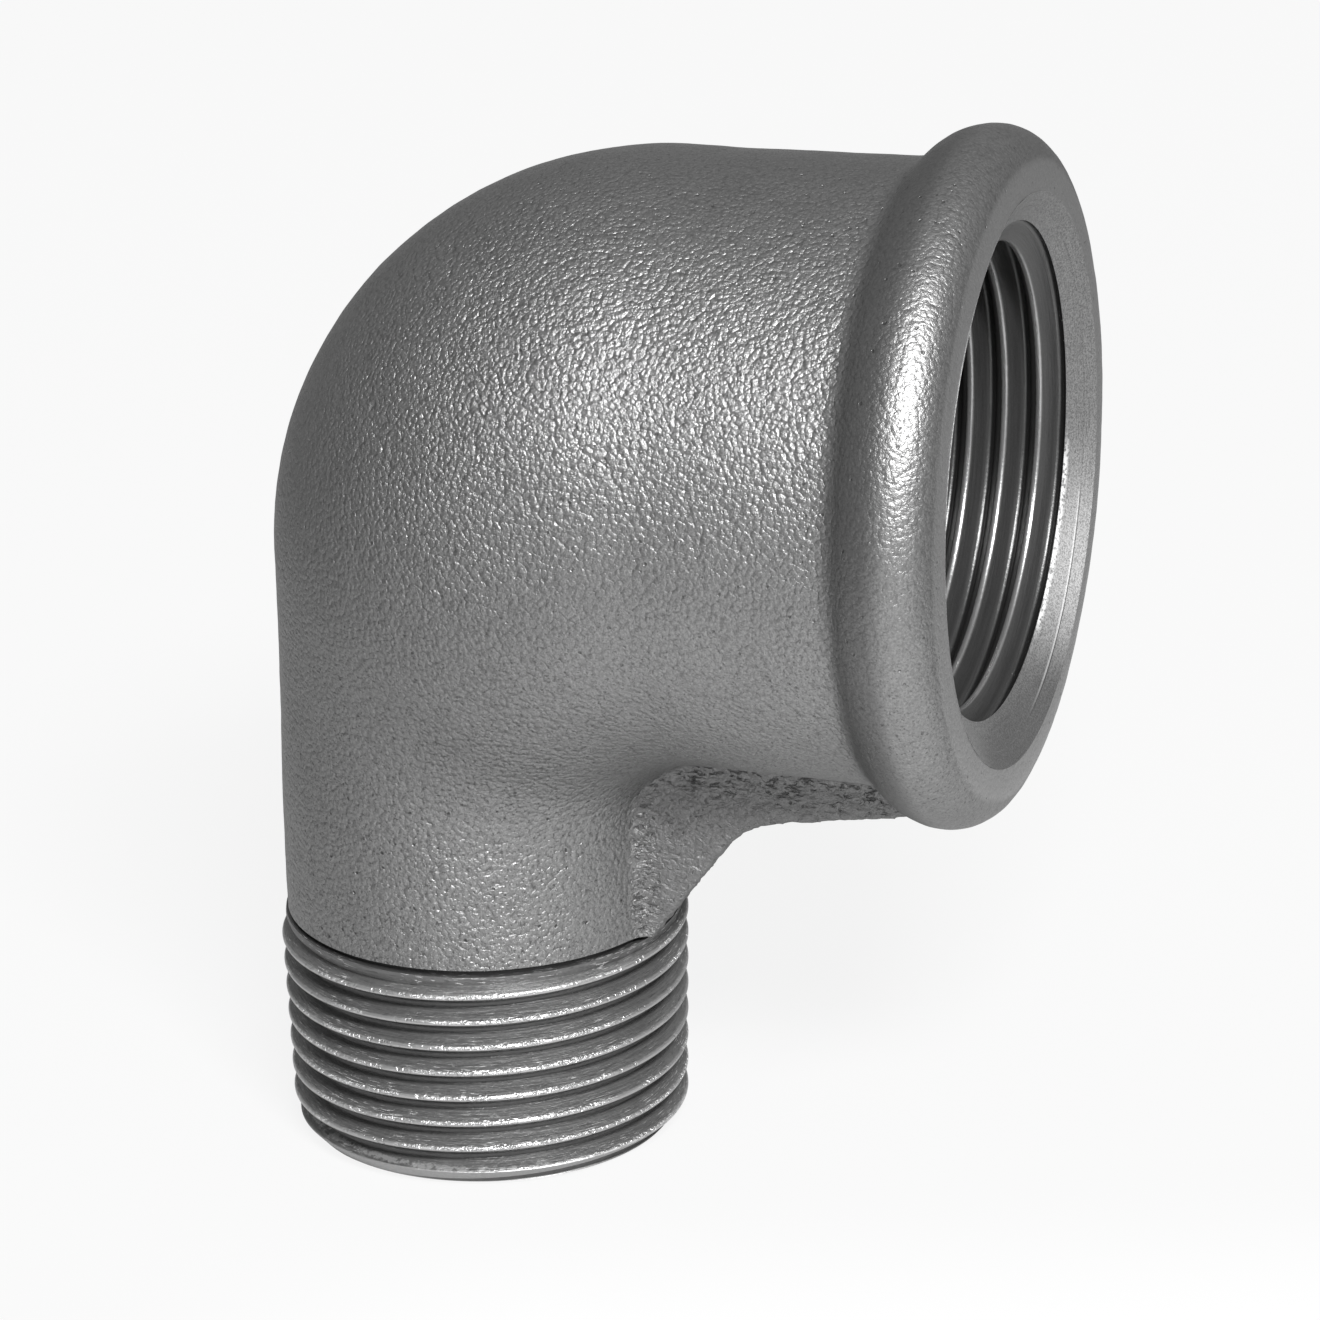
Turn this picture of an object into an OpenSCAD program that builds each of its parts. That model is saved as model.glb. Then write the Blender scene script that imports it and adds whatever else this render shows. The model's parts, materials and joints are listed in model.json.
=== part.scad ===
// Male and female reducing pipe elbow, 90 degrees, malleable cast iron, in millimetres.
// The spigot stands on the origin and runs up +Z. The socket opens towards +X.

/* [Layout] */
// Distance from the spigot axis to the socket mouth
socket_reach = 37.3; // [36:0.1:44]
// Height of the socket axis above the spigot end
spigot_reach = 47.5; // [45:0.1:58]

/* [Socket] */
// Outside diameter of the barrel next to the bead
barrel_d = 40.4; // [39:0.1:43]
// Outside diameter of the barrel where the bend begins
barrel_root_d = 39.8; // [38:0.1:42]
// Outside diameter of the bead round the mouth
bead_d = 45.3; // [44.5:0.1:48]
// Radius of the bead's front, from its top to the mouth face
bead_front_round = 3; // [2:0.1:3.4]
// Radius of the bead's back, from its top towards the barrel
bead_back_round = 4.6; // [4:0.1:6]
// Radius of the hollow between the bead and the barrel
bead_foot_round = 1.5; // [0.5:0.1:2]
// Length of the mouth end that carries the bead
bead_length = 9.5; // [8.5:0.1:11]
// Largest diameter of the machined countersink in the mouth
countersink_d = 37; // [36:0.1:38]
// Angle across the machined countersink
countersink_angle = 114; // [90:1:120]
// Diameter of the cast waterway behind the socket
waterway_d = 28; // [24:0.1:30]

/* [Socket thread] */
// Major diameter of the parallel female thread
female_major_d = 33.249; // [33:0.001:33.5]
// Pitch of the female thread
female_pitch = 2.309; // [2.1:0.001:2.5]
// Threaded depth measured from the mouth
female_length = 17; // [14:0.1:18]
// Length of the plain drilled land behind the thread
socket_land = 2.4; // [1.5:0.1:4]

/* [Spigot] */
// Outside diameter of the cast neck above the male thread
neck_d = 25.8; // [25.4:0.1:27]
// Diameter of the bore through the spigot
bore_d = 19; // [16:0.1:20]

/* [Spigot thread] */
// Major diameter of the male taper thread at its gauge plane
male_gauge_d = 26.441; // [26.2:0.001:26.7]
// Distance of the gauge plane from the spigot end
male_gauge_length = 9.5; // [8:0.1:11]
// Pitch of the male thread
male_pitch = 1.814; // [1.6:0.001:2]
// Length of the male thread from the spigot end
male_length = 15.2; // [12:0.1:18]

/* [Bend] */
// Height of the rounded inside corner between barrel and neck
throat_round = 4.3; // [3:0.1:5]
// Radius of the back of the bend in the plane of both axes
back_round = 26.5; // [22:0.1:28]

/* [Throat rib] */
// Thickness of the rib in the inside corner
rib_width = 9.5; // [6:0.1:12]
// Depth of the rib below the barrel at its corner
rib_depth = 3.6; // [2.5:0.1:5]
// Depth of the rib below the barrel where it runs into the bead
rib_end_depth = 1.4; // [0.8:0.1:1.5]
// Distance of the rib's corner from the neck's wall
rib_corner_reach = 6.5; // [5:0.1:9]
// Radius of the hollow corner between the rib's two edges
rib_corner_round = 5; // [1:0.1:7]

/* [Hidden] */
$fn = 96;

// Thread form: depth per pitch, flat at the crest per pitch, width of the ridge's foot per pitch
thread_depth_ratio = 0.6403;
thread_crest_ratio = 0.16;
thread_shoulder_ratio = 0.29;
thread_foot_ratio = 0.94;
// Share of the thread's height where the crest's rounding begins
thread_shoulder_rise = 0.86;
// Diameter change per length of the taper thread
taper = 1 / 16;
// Steps of the ridge in one turn, and share of a turn in which a ridge rises to its full height
turn_steps = 48;
lead_turns = 0.3;
// Directions in which the first turns of the two threads begin, measured round their axes
female_start_angle = 165;
male_start_angle = 270;
// Share of its height that a ridge has at its very ends
least_rise = 0.05;
// Points of one section of a ridge
form_points = 6;

// Sections along the bend and points round each of them
bend_steps = 28;
bend_points = 64;
// Lean of the back wall between the neck and the round back
back_lean = 0.5;
// Depth of the rib's root inside the neck and the barrel, and lap of the shapes that trim it
rib_root = 3;
rib_lap = 1;

barrel_r = barrel_d / 2;
barrel_root_r = barrel_root_d / 2;
bead_r = bead_d / 2;
countersink_r = countersink_d / 2;
countersink_slope = tan(countersink_angle / 2);
waterway_r = waterway_d / 2;
neck_r = neck_d / 2;
bore_r = bore_d / 2;

// Female thread: root wall, crest radius and the steep run-out behind the last turn
female_depth = female_pitch * thread_depth_ratio;
female_root_r = female_major_d / 2;
female_crest_r = female_root_r - female_depth;
female_end_x = socket_reach - female_length;
female_runout = female_depth / 2;
countersink_x = socket_reach - (countersink_r - female_root_r) / countersink_slope;

// Male thread: crest and root radius on the taper
male_depth = male_pitch * thread_depth_ratio;
function male_crest_r(z) = (male_gauge_d + (z - male_gauge_length) * taper) / 2;
function male_root_r(z) = male_crest_r(z) - male_depth;

// Pivot of the bend's sections, measured from the crossing of the two axes
pivot = [female_end_x - female_runout - socket_land, -barrel_root_r - throat_round];
throat_run = pivot.x - neck_r;
neck_top_z = spigot_reach + pivot.y;

// Bead: centres of its three rounds
bead_top_x = socket_reach - bead_front_round;
bead_back_c = [bead_top_x, bead_r - bead_back_round];
foot_rise = barrel_r + bead_foot_round - bead_back_c.y;
foot_run = sqrt(pow(bead_back_round + bead_foot_round, 2) - pow(foot_rise, 2));
bead_foot_c = [bead_top_x - foot_run, barrel_r + bead_foot_round];
bead_start_x = socket_reach - bead_length;
foot_angle = atan2(foot_rise, foot_run);
arc_steps = 12;
// Reach of the countersink's cutter past the mouth
mouth_lap = 1;

function arc(c, r, from, to) = [
    for (i = [0:arc_steps])
        let (a = from + (to - from) * i / arc_steps)
        c + r * [cos(a), sin(a)]
];

// Distance from the pivot to the outline of the back of the bend, in the direction of angle t
function back_reach(t) =
    let (d = [cos(t), sin(t)])
    let (c = [back_round - neck_r + back_lean, barrel_root_r - back_round])
    let (m = pivot - c)
    let (along = d * m)
    let (round_reach = sqrt(along * along - m * m + back_round * back_round) - along)
    let (p = pivot + round_reach * d)
    let (lean_rate = back_lean / (c.y - pivot.y))
    let (wall_reach = (pivot.x + neck_r) / (lean_rate * d.y - d.x))
    p.y < c.y ? wall_reach : p.x > c.x ? (barrel_root_r - pivot.y) / d.y : round_reach;

// Distance from the pivot to the rounded inside corner
function throat_reach(t) = 1 / norm([cos(t) / throat_run, sin(t) / throat_round]);

function section_r(t) = (back_reach(t) - throat_reach(t)) / 2;

// Wall of the bend, from the spigot's (t = 180) to the socket's (t = 90)
function bend_wall(t) =
    let (s = (180 - t) / 90)
    (neck_r - bore_r) * (1 - s) + (barrel_root_r - waterway_r) * s;

function bend_ring(t, r) =
    let (c = throat_reach(t) + section_r(t))
    [
        for (j = [0:bend_points - 1])
            let (a = 360 * j / bend_points)
            let (reach = c + r * cos(a))
            [
                pivot.x + reach * cos(t),
                r * sin(a),
                spigot_reach + pivot.y + reach * sin(t)
            ]
    ];

function bend_angle(i) = 180 - 90 * i / bend_steps;

// Triangles that join two loops of n points starting at indices p and q
function strip(p, q, n) = [
    for (j = [0:n - 1])
        let (k = (j + 1) % n)
        each [[p + j, p + k, q + j], [p + k, q + k, q + j]]
];

// Outside of the bend, closed across both ends
module bend_block() {
    n = bend_points;
    points = [
        for (i = [0:bend_steps])
            each bend_ring(bend_angle(i), section_r(bend_angle(i)))
    ];
    faces = [
        for (i = [0:bend_steps - 1])
            each strip(i * n, (i + 1) * n, n)
    ];
    first = [for (j = [n - 1:-1:0]) j];
    last = [for (j = [0:n - 1]) bend_steps * n + j];
    polyhedron(points, concat(faces, [first, last]));
}

// Cast quarter bend with its waterway
module bend() {
    n = bend_points;
    inside = (bend_steps + 1) * n;
    outer = [
        for (i = [0:bend_steps])
            let (t = bend_angle(i))
            each bend_ring(t, section_r(t))
    ];
    inner = [
        for (i = [0:bend_steps])
            let (t = bend_angle(i))
            each bend_ring(t, section_r(t) - bend_wall(t))
    ];
    skin = [
        for (i = [0:bend_steps - 1])
            each strip(i * n, (i + 1) * n, n)
    ];
    way = [
        for (i = [0:bend_steps - 1])
            each strip(inside + (i + 1) * n, inside + i * n, n)
    ];
    spigot_end = strip(inside, 0, n);
    socket_end = strip(bend_steps * n, inside + bend_steps * n, n);
    color([0.4, 0.4, 0.41])
    polyhedron(concat(outer, inner), concat(skin, way, spigot_end, socket_end));
}

// Turns an outline of [x, radius] points about the socket axis
module about_socket(outline) {
    translate([0, 0, spigot_reach])
    rotate([0, 90, 0])
    rotate_extrude()
    polygon([for (p = outline) [p.y, p.x]]);
}

// Barrel of the socket: threaded length, run-out and plain drilled land
module socket() {
    color([0.42, 0.42, 0.43])
    about_socket([
        [pivot.x, female_crest_r],
        [female_end_x - female_runout, female_crest_r],
        [female_end_x, female_root_r],
        [bead_start_x, female_root_r],
        [bead_start_x, barrel_r],
        [pivot.x, barrel_root_r]
    ]);
}

// Outside of the bead, from the mouth face over the top and down to the barrel
function bead_outline() = concat(
    arc([bead_top_x, bead_r - bead_front_round], bead_front_round, 0, 90),
    arc(bead_back_c, bead_back_round, 90, 180 - foot_angle),
    arc(bead_foot_c, bead_foot_round, -foot_angle, -90),
    [[bead_start_x, barrel_r]]
);

// Bead round the mouth with the machined countersink
module socket_bead() {
    color([0.46, 0.46, 0.47])
    difference() {
        about_socket(concat(
            [[bead_start_x, female_root_r], [socket_reach, female_root_r]],
            bead_outline()
        ));
        about_socket([
            [socket_reach - countersink_r / countersink_slope, 0],
            [socket_reach + mouth_lap, 0],
            [socket_reach + mouth_lap, countersink_r + mouth_lap * countersink_slope]
        ]);
    }
}

// One section of a thread ridge as [along, height] points; rise goes from 0 to 1 at a ridge's ends
function ridge_form(pitch, rise) =
    let (h = pitch * thread_depth_ratio * rise)
    [
        [-pitch * thread_foot_ratio / 2, 0],
        [-pitch * thread_shoulder_ratio / 2, h * thread_shoulder_rise],
        [-pitch * thread_crest_ratio / 2, h],
        [pitch * thread_crest_ratio / 2, h],
        [pitch * thread_shoulder_ratio / 2, h * thread_shoulder_rise],
        [pitch * thread_foot_ratio / 2, 0]
    ];

function ridge_rise(turn, turns) = max(least_rise, min(1, turn / lead_turns, (turns - turn) / lead_turns));

// Closed ridge through sections of n points each, given in order along the thread
module ridge(points, n) {
    sections = len(points) / n;
    sides = [
        for (i = [0:sections - 2])
            each strip(i * n, (i + 1) * n, n)
    ];
    first = [for (j = [n - 1:-1:0]) j];
    last = [for (j = [0:n - 1]) (sections - 1) * n + j];
    polyhedron(points, concat(sides, [first, last]));
}

// Parallel right-hand female thread standing inwards from the root wall
module socket_thread() {
    start_x = female_end_x + female_pitch / 2;
    turns = (countersink_x - female_pitch / 2 - start_x) / female_pitch;
    steps = floor(turns * turn_steps);
    points = [
        for (i = [0:steps])
            let (turn = i / turn_steps)
            let (a = female_start_angle + 360 * turn)
            for (p = ridge_form(female_pitch, ridge_rise(turn, steps / turn_steps)))
                let (r = female_root_r - p.y)
                [
                    start_x + turn * female_pitch - p.x,
                    r * cos(a),
                    spigot_reach + r * sin(a)
                ]
    ];
    color([0.34, 0.34, 0.35])
    ridge(points, form_points);
}

// Spigot: cast neck, taper root of the male thread and the bore
module spigot() {
    color([0.42, 0.42, 0.43])
    rotate_extrude()
    polygon([
        [bore_r, 0],
        [male_root_r(0), 0],
        [male_root_r(male_length), male_length],
        [neck_r, male_length],
        [neck_r, neck_top_z],
        [bore_r, neck_top_z]
    ]);
}

// Taper right-hand male thread standing outwards from the root
module spigot_thread() {
    start_z = male_pitch / 2;
    turns = (male_length - male_pitch - start_z / 2) / male_pitch;
    steps = floor(turns * turn_steps);
    points = [
        for (i = [0:steps])
            let (turn = i / turn_steps)
            let (a = male_start_angle + 360 * turn)
            for (p = ridge_form(male_pitch, ridge_rise(turn, steps / turn_steps)))
                let (z = start_z + turn * male_pitch + p.x)
                let (r = male_root_r(z) / cos(180 / turn_steps) + p.y)
                [r * cos(a), r * sin(a), z]
    ];
    color([0.34, 0.34, 0.35])
    ridge(points, form_points);
}

// Arc of radius r that eases the right-hand turn at b on the way from a to c
function rounded(a, b, c, r) =
    let (u = (a - b) / norm(a - b))
    let (v = (c - b) / norm(c - b))
    let (half = acos(u * v) / 2)
    let (centre = b + (u + v) / norm(u + v) * r / sin(half))
    let (s = b + u * r / tan(half) - centre)
    let (from = atan2(s.y, s.x))
    arc(centre, r, from, from + 2 * half - 180);

// Cast rib in the inside corner, from the top of the male thread to the bead
module throat_rib() {
    foot = [neck_r, male_length];
    corner = [neck_r + rib_corner_reach, spigot_reach - barrel_r - rib_depth];
    end = [bead_top_x, spigot_reach - barrel_r - rib_end_depth];
    root_x = neck_r - rib_root;
    root_z = spigot_reach - barrel_root_r + rib_root;
    color([0.39, 0.39, 0.4])
    difference() {
        translate([0, rib_width / 2, 0])
        rotate([90, 0, 0])
        linear_extrude(rib_width)
        polygon(concat(
            [[root_x, foot.y], foot],
            rounded(foot, corner, end, rib_corner_round),
            [end, [end.x, root_z], [root_x, root_z]]
        ));
        bend_block();
        rotate_extrude()
        polygon([
            [0, 0],
            [neck_r, 0],
            [neck_r, neck_top_z],
            [neck_r - rib_lap, neck_top_z + rib_lap],
            [0, neck_top_z + rib_lap]
        ]);
        about_socket(concat(
            [[pivot.x - rib_lap, 0], [socket_reach, 0]],
            bead_outline(),
            [[pivot.x, barrel_root_r], [pivot.x - rib_lap, barrel_root_r - rib_lap]]
        ));
    }
}

bend();
socket();
socket_bead();
socket_thread();
spigot();
spigot_thread();
throat_rib();
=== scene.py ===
import json
import math

import bpy
from mathutils import Matrix, Vector


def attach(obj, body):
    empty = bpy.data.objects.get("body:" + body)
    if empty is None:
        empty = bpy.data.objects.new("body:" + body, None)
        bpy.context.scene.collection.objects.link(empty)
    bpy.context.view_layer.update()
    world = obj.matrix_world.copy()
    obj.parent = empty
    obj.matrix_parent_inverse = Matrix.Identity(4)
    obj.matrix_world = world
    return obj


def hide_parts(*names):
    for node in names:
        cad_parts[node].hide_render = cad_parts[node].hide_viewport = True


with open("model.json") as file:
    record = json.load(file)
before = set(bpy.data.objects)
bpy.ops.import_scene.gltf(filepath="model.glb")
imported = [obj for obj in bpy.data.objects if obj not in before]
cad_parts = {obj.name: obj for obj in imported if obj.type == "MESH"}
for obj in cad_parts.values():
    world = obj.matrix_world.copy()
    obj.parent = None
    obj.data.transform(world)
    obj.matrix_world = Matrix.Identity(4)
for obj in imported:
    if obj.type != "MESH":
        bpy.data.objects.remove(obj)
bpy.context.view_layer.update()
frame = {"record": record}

MM = 0.001

# Sizes in millimetres. The frame's origin is the centre of the spigot's end,
# the spigot runs up z and the socket opens along x at the height of its axis.
mounts = {mount["name"]: mount for mount in frame["record"]["mounts"]}
SOCKET_REACH = round(mounts["socket_mouth"]["pos_m"][0] / MM, 3)
SPIGOT_REACH = round(mounts["socket"]["pos_m"][2] / MM, 3)
BORE_R = mounts["spigot_bore"]["dims"]["r_mm"]
WATERWAY_R = 14.0
NECK_R = 12.9
BARREL_R = 20.2
BARREL_ROOT_R = 19.9
BARREL_FLOOR_Z = SPIGOT_REACH - BARREL_R
BEAD_R = 22.65
BEAD_FRONT_ROUND = 3.0
BEAD_BACK_ROUND = 4.6
BEAD_FOOT_ROUND = 1.5
THROAT_ROUND = 4.3
THROAT_RUN = 4.26
BACK_ROUND = 26.5
BACK_LEAN = 0.5
RIB_HALF_WIDTH = 4.75
RIB_DEPTH = 3.6
RIB_END_DEPTH = 1.4
RIB_CORNER_REACH = 6.5
RIB_CORNER_ROUND = 5.0

# The inside corner of the bend as (x, z), about which its rings fan out.
PIVOT = Vector((NECK_R + THROAT_RUN, SPIGOT_REACH - BARREL_ROOT_R - THROAT_ROUND))

# The machined mouth: a countersink with a small step in it.
COUNTERSINK_R = 18.5
COUNTERSINK_SLOPE = math.tan(math.radians(57))
COUNTERSINK_STEP_R = 17.5
COUNTERSINK_STEP_RISE = 0.05

# Rounded thread form, as shares of the pitch.
THREAD_DEPTH = 0.640327
THREAD_ROUND = 0.137329
FLANK_START_ANGLE = 62.5

# The female thread is parallel and the male one tapers. A lead moves a thread along
# its axis, so that its crests meet the outline where they do in the photo.
FEMALE_MAJOR_R = 16.6245
FEMALE_PITCH = 2.309
FEMALE_LENGTH = 17.0
FEMALE_LEAD = -0.483
FEMALE_MINOR_R = FEMALE_MAJOR_R - THREAD_DEPTH * FEMALE_PITCH
MALE_GAUGE_R = 13.2205
MALE_GAUGE_LENGTH = 9.5
MALE_PITCH = 1.814
MALE_LENGTH = 15.2
MALE_LEAD = -0.37
TAPER_PER_RADIUS = 1 / 32
MALE_SMALL_R = MALE_GAUGE_R - MALE_GAUGE_LENGTH * TAPER_PER_RADIUS

# Places of one crest of each thread, straight along y from the socket's axis
# and straight along x from the spigot's axis.
FEMALE_CREST_X = 34.248
MALE_CREST_Z = 8.606

# The turned spigot: chamfered end, blank for the thread, plain land and relief groove.
SPIGOT_END_R = 11.86
SPIGOT_CHAMFER_HEIGHT = 1.3
SPIGOT_CHAMFER_SLOPE = 0.9
BLANK_R = 13.4
LAND_R = 13.0
LAND_TOP = MALE_LENGTH - 0.16
RELIEF_R = 12.6
RELIEF_FLOOR = MALE_LENGTH - 0.1
RELIEF_TOP = MALE_LENGTH + 0.25

# The sand texture needs this much room at the mouth to stay inside the CAD box.
SAND_ALLOWANCE = 0.07
# How far the linings reach into the casting, so that no slit shows.
LINING_LAP = 0.04
BACK_LAP = 0.02
# How far a tool passes through what it cuts.
TOOL_OVERRUN = 1.0
CORE_OVERRUN = 2.0
# How far the tap's roots stay inside the drilled hole, so that two walls never coincide.
TAP_CLEARANCE = 0.01

# Fineness of the meshes: a remeshed grid, points round a ring and tolerances.
SAND_GRID = 0.36
BODY_POINTS = 96
CORE_POINTS = 128
TAP_STEPS = 144
LATHE_STEPS = 192
SLIVER_WIDTH = 0.003
MERGE_DISTANCE = 0.001
SLICE_TOLERANCE = 0.0001


# Bench work

def lay_down():
    """Leaves object mode on and nothing selected."""
    if bpy.context.object and bpy.context.object.mode != "OBJECT":
        bpy.ops.object.mode_set(mode="OBJECT")
    bpy.ops.object.select_all(action="DESELECT")


def take(piece):
    """Makes one piece the only one in hand."""
    lay_down()
    piece.select_set(True)
    bpy.context.view_layer.objects.active = piece


def open_all(piece):
    """Edit mode with the whole mesh selected."""
    take(piece)
    bpy.ops.object.mode_set(mode="EDIT")
    bpy.ops.mesh.select_mode(type="VERT")
    bpy.ops.mesh.select_all(action="SELECT")


def close_up(piece):
    """Merges doubles, turns every face outwards and leaves edit mode."""
    open_all(piece)
    bpy.ops.mesh.remove_doubles(threshold=MERGE_DISTANCE * MM)
    bpy.ops.mesh.normals_make_consistent(inside=False)
    bpy.ops.object.mode_set(mode="OBJECT")


def drop_slivers(piece):
    """Dissolves the very narrow edges and faces that a cut leaves."""
    open_all(piece)
    bpy.ops.mesh.dissolve_degenerate(threshold=SLIVER_WIDTH * MM)
    bpy.ops.object.mode_set(mode="OBJECT")


def mill(piece, kind, **settings):
    """Adds a modifier with its settings and applies it."""
    take(piece)
    step = piece.modifiers.new(kind.lower(), kind)
    for key, value in settings.items():
        setattr(step, key, value)
    bpy.ops.object.modifier_apply(modifier=step.name)


def cut_with(piece, tool, operation):
    """Applies a boolean with the tool to the piece and throws the tool away."""
    mill(piece, "BOOLEAN", operation=operation, solver="EXACT", object=tool)
    bpy.data.objects.remove(tool)


def slice_off(piece, height, keep_above):
    """Cuts the piece flat at a height on z and fills the cut."""
    open_all(piece)
    bpy.ops.mesh.bisect(
        plane_co=(0, 0, height * MM), plane_no=(0, 0, 1), use_fill=True,
        clear_inner=keep_above, clear_outer=not keep_above, threshold=SLICE_TOLERANCE * MM)
    bpy.ops.object.mode_set(mode="OBJECT")


def extrude(step_x, step_z):
    """Extrudes what is selected by a step in millimetres."""
    bpy.ops.mesh.extrude_region_move(
        TRANSFORM_OT_translate={"value": (step_x * MM, 0, step_z * MM)})


def ring_sweep(name, stations, points):
    """A closed round form: a disc extruded from station to station.

    A station is the ring's centre (x, z), its tilt about y in degrees and its radius.
    """
    lay_down()
    x, z, tilt, radius = stations[0]
    bpy.ops.mesh.primitive_circle_add(
        vertices=points, radius=radius * MM, fill_type="NGON",
        location=(x * MM, 0, z * MM), rotation=(0, math.radians(tilt), 0))
    bpy.ops.object.transform_apply(location=True, rotation=True, scale=True)
    form = bpy.context.object
    form.name = name
    open_all(form)
    for next_x, next_z, next_tilt, next_radius in stations[1:]:
        extrude(next_x - x, next_z - z)
        centre = (next_x * MM, 0, next_z * MM)
        if next_tilt != tilt:
            bpy.ops.transform.rotate(
                value=-math.radians(next_tilt - tilt), orient_axis="Y",
                center_override=centre)
        if next_radius != radius:
            share = next_radius / radius
            bpy.ops.transform.resize(value=(share, share, share), center_override=centre)
        x, z, tilt, radius = next_x, next_z, next_tilt, next_radius
    close_up(form)
    return form


def outline(name, corners):
    """A chain of vertices extruded one by one through (x, z) corners."""
    lay_down()
    bpy.ops.mesh.primitive_plane_add(size=MM, location=(0, 0, 0))
    chain = bpy.context.object
    chain.name = name
    open_all(chain)
    bpy.ops.mesh.merge(type="CENTER")
    x, z = corners[0]
    bpy.ops.transform.translate(value=(x * MM, 0, z * MM))
    for next_x, next_z in corners[1:]:
        extrude(next_x - x, next_z - z)
        x, z = next_x, next_z
    bpy.ops.mesh.select_all(action="SELECT")
    return chain


def turned(name, corners):
    """A lathe form: a closed outline of (radius, height) corners spun about z."""
    form = outline(name, corners)
    bpy.ops.mesh.edge_face_add()
    bpy.ops.mesh.delete(type="ONLY_FACE")
    bpy.ops.mesh.select_all(action="SELECT")
    bpy.ops.mesh.spin(steps=LATHE_STEPS, angle=2 * math.pi, center=(0, 0, 0), axis=(0, 0, 1))
    close_up(form)
    return form


def lay_along_socket(piece):
    """Lays a form made on z along the socket."""
    open_all(piece)
    bpy.ops.transform.rotate(
        value=-math.radians(90), orient_axis="Y", center_override=(0, 0, 0))
    bpy.ops.transform.translate(value=(0, 0, SPIGOT_REACH * MM))
    bpy.ops.object.mode_set(mode="OBJECT")


def arc(centre, radius, start, end, steps):
    """Points of an arc between two angles in degrees."""
    points = []
    for i in range(steps + 1):
        angle = math.radians(start + (end - start) * i / steps)
        points.append((centre[0] + radius * math.cos(angle),
                       centre[1] + radius * math.sin(angle)))
    return points


# Casting

def back_reach(way):
    """From the pivot to the outer curve of the bend, in a direction (x, z)."""
    pivot = Vector((PIVOT.x, PIVOT.y - SPIGOT_REACH))
    centre = Vector((BACK_ROUND - NECK_R + BACK_LEAN, BARREL_ROOT_R - BACK_ROUND))
    offset = pivot - centre
    along = way.dot(offset)
    reach = math.sqrt(along ** 2 - offset.length_squared + BACK_ROUND ** 2) - along
    touch = pivot + reach * way
    if touch.y < centre.y:
        lean = BACK_LEAN / (centre.y - pivot.y)
        return (pivot.x + NECK_R) / (lean * way.y - way.x)
    if touch.x > centre.x:
        return (BARREL_ROOT_R - pivot.y) / way.y
    return reach


def bend_rings(steps, wall_share):
    """Rings of the quarter bend; a wall share of 1 gives the waterway."""
    rings = []
    for i in range(steps + 1):
        share = i / steps
        angle = math.radians(180 - 90 * share)
        way = Vector((math.cos(angle), math.sin(angle)))
        throat = 1 / Vector((way.x / THROAT_RUN, way.y / THROAT_ROUND)).length
        radius = (back_reach(way) - throat) / 2
        wall = (NECK_R - BORE_R) * (1 - share) + (BARREL_ROOT_R - WATERWAY_R) * share
        centre = PIVOT + (throat + radius) * way
        rings.append((centre.x, centre.y, 90 * share, radius - wall_share * wall))
    return rings


def along_socket(profile):
    """Ring stations on the socket's axis from (x, radius) points."""
    return [(x, SPIGOT_REACH, 90.0, radius) for x, radius in profile]


def bead_profile():
    """The bead's section from its foot on the barrel to the mouth, as (x, radius)."""
    top_x = SOCKET_REACH - SAND_ALLOWANCE - BEAD_FRONT_ROUND
    back_centre = (top_x, BEAD_R - BEAD_BACK_ROUND)
    front_centre = (top_x, BEAD_R - BEAD_FRONT_ROUND)
    foot_r = BARREL_R + BEAD_FOOT_ROUND
    apart = BEAD_BACK_ROUND + BEAD_FOOT_ROUND
    fall = foot_r - back_centre[1]
    foot_centre = (top_x - math.sqrt(apart ** 2 - fall ** 2), foot_r)
    lean = math.degrees(math.asin(fall / apart))
    return (arc(foot_centre, BEAD_FOOT_ROUND, -90, -lean, steps=8)
            + arc(back_centre, BEAD_BACK_ROUND, 180 - lean, 90, steps=14)[1:]
            + arc(front_centre, BEAD_FRONT_ROUND, 90, 0, steps=12)[1:])


def rib_blank():
    """The slab in the inside corner, deep enough to run into barrel and neck."""
    inside = 4.0
    toe = 1.0
    corner = Vector((NECK_R + RIB_CORNER_REACH, BARREL_FLOOR_Z - RIB_DEPTH))
    foot = Vector((NECK_R, MALE_LENGTH))
    end = Vector((SOCKET_REACH - BEAD_FRONT_ROUND, BARREL_FLOOR_Z - RIB_END_DEPTH))
    to_foot = (foot - corner).normalized()
    to_end = (end - corner).normalized()
    half = to_foot.angle(to_end) / 2
    middle = (to_foot + to_end).normalized()
    centre = corner + middle * (RIB_CORNER_ROUND / math.sin(half))
    start = math.degrees(math.atan2(*(-Vector((-to_foot.y, to_foot.x))).yx))
    sweep = 180 - 2 * math.degrees(half)
    hollow = arc(centre, RIB_CORNER_ROUND, start, start - sweep, steps=10)
    neck_side = [(NECK_R - inside, MALE_LENGTH - inside), (foot.x, foot.y - toe), (foot.x, foot.y)]
    barrel_side = [(end.x, end.y), (end.x, BARREL_FLOOR_Z + inside),
                   (NECK_R - inside, BARREL_FLOOR_Z + inside)]
    slab = outline("rib_blank", neck_side + hollow + barrel_side)
    bpy.ops.mesh.edge_face_add()
    bpy.ops.transform.translate(value=(0, -RIB_HALF_WIDTH * MM, 0))
    bpy.ops.mesh.extrude_region_move(
        TRANSFORM_OT_translate={"value": (0, 2 * RIB_HALF_WIDTH * MM, 0)})
    close_up(slab)
    return slab


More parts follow.
